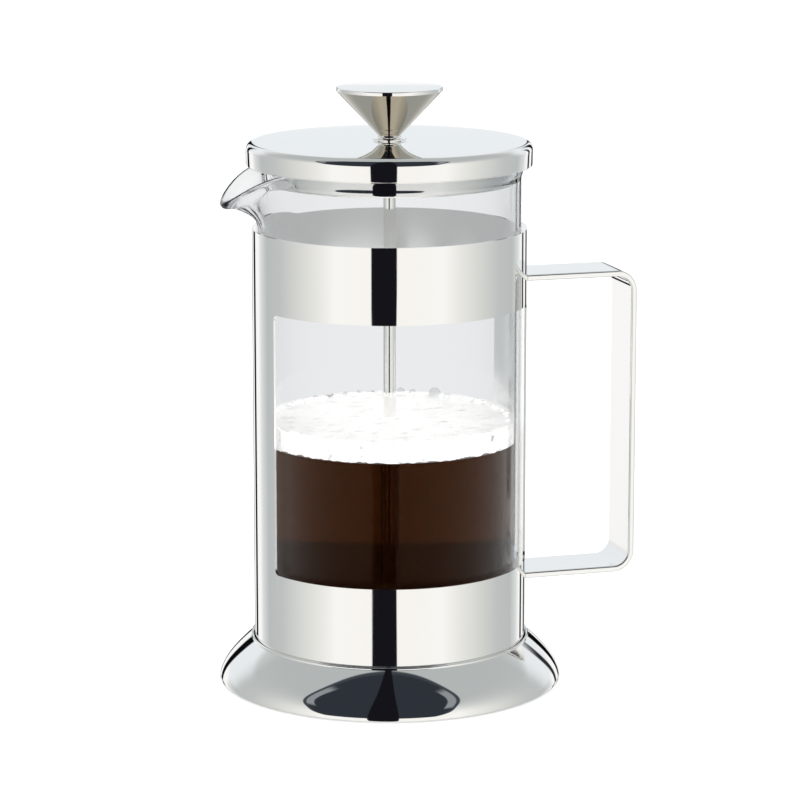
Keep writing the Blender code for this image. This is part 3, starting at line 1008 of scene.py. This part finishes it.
def pressed_cap():
    """The cap's crown falls away by a hair towards the edge, so that it sheds water."""
    flat_end = cap_radius - cap_edge
    top_centre = (flat_end, cap_high.z - cap_edge - crown(1.0))
    hem = (cap_radius - cap_sheet / 2.0, cap_low.z + cap_sheet / 2.0)
    return lathe(
        "pressed_cap",
        [(cap_hole, cap_high.z), (flat_end * 0.45, cap_high.z)]
        + [(flat_end * (0.5 + 0.05 * step), cap_high.z - crown(step / 10.0)) for step in range(11)]
        + corner(top_centre, cap_edge, 84.0, 0.0, 20)
        + corner(hem, cap_sheet / 2.0, 0.0, -180.0, 8)
        + corner(top_centre, cap_edge - cap_sheet, 0.0, 90.0, 10)
        + [(cap_hole, cap_high.z - cap_sheet)],
        steps=256,
    )


fit(pressed_cap(), polished, "polished_steel", "lid", "lid_cover")

# --- Lid liner ----------------------------------------------------------------
# A pan pressed from the same sheet fits inside the beaker's mouth and centres the lid. Its flange
# is spot-welded under the cap.

liner_radius = 0.0463
liner_turn = 0.0014


def pressed_liner():
    """A flat pan with a rounded corner, a short wall and a flange."""
    low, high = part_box("lid_liner")
    bore = rod_radius + 0.0004
    centre = (liner_radius - liner_turn, low.z + liner_turn)
    flange = high.z - cap_sheet
    return lathe(
        "pressed_liner",
        [(bore, low.z)]
        + corner(centre, liner_turn, -90.0, 0.0, 6)
        + [(liner_radius, flange), (high.y, flange), (high.y, high.z)]
        + [(liner_radius - cap_sheet, high.z)]
        + corner(centre, liner_turn - cap_sheet, 0.0, -90.0, 4)
        + [(bore, low.z + cap_sheet)],
        steps=200,
    )


fit(pressed_liner(), polished, "satin_steel", "lid", "lid_liner")

# --- Guide bush ---------------------------------------------------------------
# The rod slides in a turned steel bush, pushed through the cap. Its low flange lies on top of the
# cap, and a washer and a nut hold it from below.

bush_seat_radius = 0.0062
bush_edge = 0.0002
bush_top_radius = 0.0046


def guide_bush():
    """A tube with a low flange, its top face bevelled."""
    low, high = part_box("rod_bush")
    bore = rod_radius + rod_gap
    shank = cap_hole - rod_gap
    seat = cap_high.z + rod_gap
    return lathe(
        "guide_bush",
        [(bore, low.z), (shank, low.z), (shank, seat), (bush_seat_radius, seat)]
        + corner((bush_seat_radius - bush_edge, seat + bush_edge), bush_edge, 0.0, 70.0, 3)
        + [(bush_top_radius + 0.0001, high.z - bush_edge), (bush_top_radius, high.z)]
        + [(bore, high.z)],
        steps=96,
    )


fit(guide_bush(), polished, "polished_steel", "lid", "rod_bush")
dress("bush_washer", satin)
dress("bush_nut", satin)

# --- Rod ----------------------------------------------------------------------
# The rod is ground stainless bar with both ends chamfered. The knob is screwed to its top and the
# filter to its bottom.

rod_chamfer = 0.0004


def ground_rod():
    """A plain round bar with a chamfer at each end."""
    return lathe(
        "ground_rod",
        [
            (0.0, rod_low.z),
            (rod_radius - rod_chamfer, rod_low.z),
            (rod_radius, rod_low.z + rod_chamfer),
            (rod_radius, rod_high.z - rod_chamfer),
            (rod_radius - rod_chamfer, rod_high.z),
            (0.0, rod_high.z),
        ],
        steps=64,
    )


fit(ground_rod(), polished, "polished_steel", "plunger", "plunger_rod")

# --- Knob ---------------------------------------------------------------------
# The knob is turned from solid bar: a flat top, a thin rim and a straight cone that runs down to
# a narrow neck. It is drilled and tapped from below, screwed on the rod and buffed.

knob_low, knob_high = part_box("knob")
knob_radius = knob_high.y
knob_rim = 0.0016
knob_edge = 0.0003
knob_neck = 0.0040
knob_neck_height = 0.0009


def turned_knob():
    """The flat top, the rim, the cone and the neck, with a blind bore."""
    bore = rod_radius + rod_gap
    bore_end = rod_high.z + rod_gap
    rim_bottom = knob_high.z - knob_rim
    neck_top = knob_low.z + knob_neck_height
    return lathe(
        "turned_knob",
        [(0.0, knob_high.z)]
        + corner((knob_radius - knob_edge, knob_high.z - knob_edge), knob_edge, 90.0, 0.0, 5)
        + [(knob_radius, rim_bottom + 0.0002), (knob_radius - 0.0002, rim_bottom)]
        + [(knob_neck + 0.0004, neck_top), (knob_neck, neck_top - 0.0004)]
        + [(knob_neck + 0.0001, knob_low.z + 0.0002), (knob_neck + 0.0003, knob_low.z)]
        + [(bore, knob_low.z), (bore, bore_end), (0.0, bore_end)],
        steps=192,
    )


def turned_steel():
    """Stainless bar, turned and buffed, with faint tool rings: a warmer, darker mirror than sheet,
    which is painted shade on the knob's underside.
    """
    made, tree, shader, place = new_finish("turned_steel", {"Metallic": 1.0, "Roughness": 0.03})
    rings = add_node(
        tree,
        "ShaderNodeTexWave",
        {"bands_direction": "Z", "Scale": 900.0, "Distortion": 0.2},
        {"Vector": place},
    )
    tone = add_node(
        tree,
        "ShaderNodeMix",
        {"data_type": "RGBA", 6: hex_colour("#D6D1C7"), 7: hex_colour("#D0CBC0")},
        {0: rings.outputs["Fac"]},
    )
    tree.links.new(tone.outputs[2], shader.inputs["Base Color"])
    return made


knob = turned_knob()
fit(knob, polished, "polished_steel", "plunger", "knob")
knob.data.materials.append(turned_steel())
# Faces that look downwards get the darker mirror: painted shade under the knob.
for face in knob.data.polygons:
    if face.normal.z < -0.3:
        face.material_index = 1

# --- Studio -------------------------------------------------------------------
# A white tent stands round a white table. It is open in front, where the dark room shows as a
# round patch and a narrow slit, and its back corners leave dark seams.

view_azimuth = math.radians(-16.6)
view_elevation = math.radians(11.48)
view_distance = 1.305
view_lens = 157.0
aim_height = 0.1065
aim_aside = 0.0039
white = (1.0, 1.0, 1.0, 1.0)
soft_white = (1.5, 1.5, 1.5, 1.0)
ceiling_grey = "#B7BCBD"
wall_shades = (  # by degrees round from the camera
    (0, "#FFFCF8"),
    (46, "#FFFFFD"),
    (62, "#EEEEEB"),
    (84, "#D8DAD7"),
    (104, "#C3C7C7"),
    (124, "#BDC2C3"),
    (136, "#DDE1E2"),
    (143, "#FFFFFF"),
    (180, "#FFFFFF"),
)
patch_rise = 46.0  # the middle of the patch, in degrees above the camera's horizon
patch_aside = 5.5
patch_half_height = 36.0
patch_half_width = 45.5
patch_power = 3.0  # 2 would make it a plain oval
patch_shades = ((-1.0, 1.0, "#3F444B"), (-1.0, 0.95, "#2F343C"))
patch_soft = 0.012
frame_shade = "#8F9498"
slit_bearings = (-14.8, 6.3)
slit_shade = "#15151B"
seams = (
    (-174.0, -168.0, "#0A0B0D"),
    (-159.5, -152.0, "#0A0B0D"),
    (146.5, 151.5, "#2A2C2C"),
    (159.5, 167.5, "#050507"),
    (172.0, 175.0, "#2A2C2C"),
)


def white_table():
    """Matt white paper. The steel and the glass don't see it, so that it can't dull them."""
    bpy.ops.object.select_all(action="DESELECT")
    bpy.ops.mesh.primitive_plane_add(size=14.0, location=(0.0, 0.0, 0.0))
    table = bpy.context.object
    table.name = "table"
    made, tree, shader, place = new_finish(
        "white_paper", {"Base Color": hex_colour("#F4F4F4"), "Roughness": 0.9}
    )
    table.data.materials.append(made)
    table.visible_glossy = False
    table.visible_transmission = False


def light_tent():
    """The tent's brightness by bearing from the camera and by height, as light from far away."""
    world = bpy.data.worlds.new("light_tent")
    bpy.context.scene.world = world
    world.use_nodes = True
    tree = world.node_tree
    direction = add_node(tree, "ShaderNodeTexCoord").outputs["Generated"]
    turned = add_node(
        tree,
        "ShaderNodeMapping",
        {"vector_type": "VECTOR", "Rotation": (0.0, 0.0, math.radians(90.0) - view_azimuth)},
        {"Vector": direction},
    )
    axes = add_node(tree, "ShaderNodeSeparateXYZ", {}, {0: turned.outputs["Vector"]})
    degrees = math.degrees(1.0)

    def sum_of(operation, *terms):
        """A Math node of sockets and numbers."""
        node = add_node(tree, "ShaderNodeMath", {"operation": operation})
        for index, term in enumerate(terms):
            if isinstance(term, (int, float)):
                node.inputs[index].default_value = term
            else:
                tree.links.new(term, node.inputs[index])
        return node.outputs["Value"]

    def step_at(value, edge, soft, before, after):
        """A soft step from one value to another."""
        return add_node(
            tree,
            "ShaderNodeMapRange",
            {
                "interpolation_type": "SMOOTHSTEP",
                "From Min": edge - soft,
                "From Max": edge + soft,
                "To Min": before,
                "To Max": after,
            },
            {"Value": value},
        ).outputs["Result"]

    def between(value, low, high, soft):
        """1 where a value lies between two limits, with soft ends."""
        rise = step_at(value, low, soft, 0.0, 1.0)
        return sum_of("MULTIPLY", rise, step_at(value, high, soft, 1.0, 0.0))

    def painted(under, mask, colour):
        """A colour laid over another through a mask."""
        mix = add_node(tree, "ShaderNodeMix", {"data_type": "RGBA", 7: colour}, {0: mask})
        tree.links.new(under, mix.inputs[6])
        return mix.outputs[2]

    bearing = sum_of("MULTIPLY", sum_of("ARCTAN2", axes.outputs["Y"], axes.outputs["X"]), degrees)
    height = sum_of("MULTIPLY", sum_of("ARCSINE", axes.outputs["Z"]), degrees)
    around = sum_of("DIVIDE", sum_of("ABSOLUTE", bearing), 180.0)
    walls = add_node(tree, "ShaderNodeValToRGB", {}, {"Fac": around})
    shades = walls.color_ramp.elements
    shades[0].color = hex_colour(wall_shades[0][1])
    shades[1].color = hex_colour(wall_shades[-1][1])
    for bearing_in_degrees, shade in wall_shades[1:-1]:
        shades.new(bearing_in_degrees / 180.0).color = hex_colour(shade)
    ceiling = step_at(height, 31.0, 17.0, 0.0, 1.0)
    light = painted(walls.outputs["Color"], ceiling, hex_colour(ceiling_grey))
    behind = sum_of("MULTIPLY", between(around, 0.72, 1.1, 0.08), between(height, 3.0, 26.0, 3.0))
    light = painted(light, behind, hex_colour("#EDF2F6"))

    rise = sum_of("MULTIPLY", sum_of("ARCTAN2", axes.outputs["Z"], axes.outputs["X"]), degrees)
    rise = sum_of("DIVIDE", sum_of("SUBTRACT", rise, patch_rise), patch_half_height)
    aside = sum_of("MULTIPLY", sum_of("ARCSINE", axes.outputs["Y"]), degrees)
    aside = sum_of("DIVIDE", sum_of("ADD", aside, patch_aside), patch_half_width)
    powers = [sum_of("POWER", sum_of("ABSOLUTE", part), patch_power) for part in (rise, aside)]
    off_patch = sum_of("POWER", sum_of("ADD", *powers), 1.0 / patch_power)
    for low, high, shade in patch_shades:
        light = painted(light, between(off_patch, low, high, patch_soft), hex_colour(shade))
    frames = between(off_patch, 0.84, 0.95, patch_soft)
    frames = sum_of("MULTIPLY", frames, between(height, 34.0, 60.0, 3.0))
    light = painted(light, frames, hex_colour(frame_shade))

    slit = sum_of(
        "MULTIPLY", between(bearing, *slit_bearings, 0.4), between(height, -80.0, 84.0, 2.0)
    )
    light = painted(light, slit, hex_colour(slit_shade))
    wall_height = between(height, -70.0, 17.0, 6.0)
    for start, end, shade in seams:
        seam = sum_of("MULTIPLY", between(bearing, start, end, 0.8), wall_height)
        light = painted(light, seam, hex_colour(shade))

    path = add_node(tree, "ShaderNodeLightPath")
    through = sum_of("GREATER_THAN", path.outputs["Transmission Depth"], 0.5)
    straight = sum_of("LESS_THAN", path.outputs["Glossy Depth"], 0.5)
    light = painted(light, sum_of("MULTIPLY", through, straight), white)
    light = painted(light, path.outputs["Is Camera Ray"], white)
    scattered = sum_of("GREATER_THAN", path.outputs["Diffuse Depth"], 0.5)
    light = painted(light, scattered, soft_white)
    tree.links.new(light, tree.nodes["Background"].inputs["Color"])


def camera_in_front():
    """A long lens, a little above the lid's height, looking down at the middle of the press."""
    towards = Vector(
        (
            math.sin(view_azimuth) * math.cos(view_elevation),
            -math.cos(view_azimuth) * math.cos(view_elevation),
            math.sin(view_elevation),
        )
    )
    aside = Vector((math.cos(view_azimuth), math.sin(view_azimuth), 0.0))
    bpy.ops.object.camera_add(
        location=Vector((0.0, 0.0, aim_height)) + aside * aim_aside + towards * view_distance,
        rotation=towards.to_track_quat("Z", "Y").to_euler(),
    )
    camera = bpy.context.object
    camera.data.lens = view_lens
    camera.data.sensor_width = 36.0
    bpy.context.scene.camera = camera


white_table()
light_tent()
camera_in_front()
bpy.context.scene.view_settings.view_transform = "Standard"
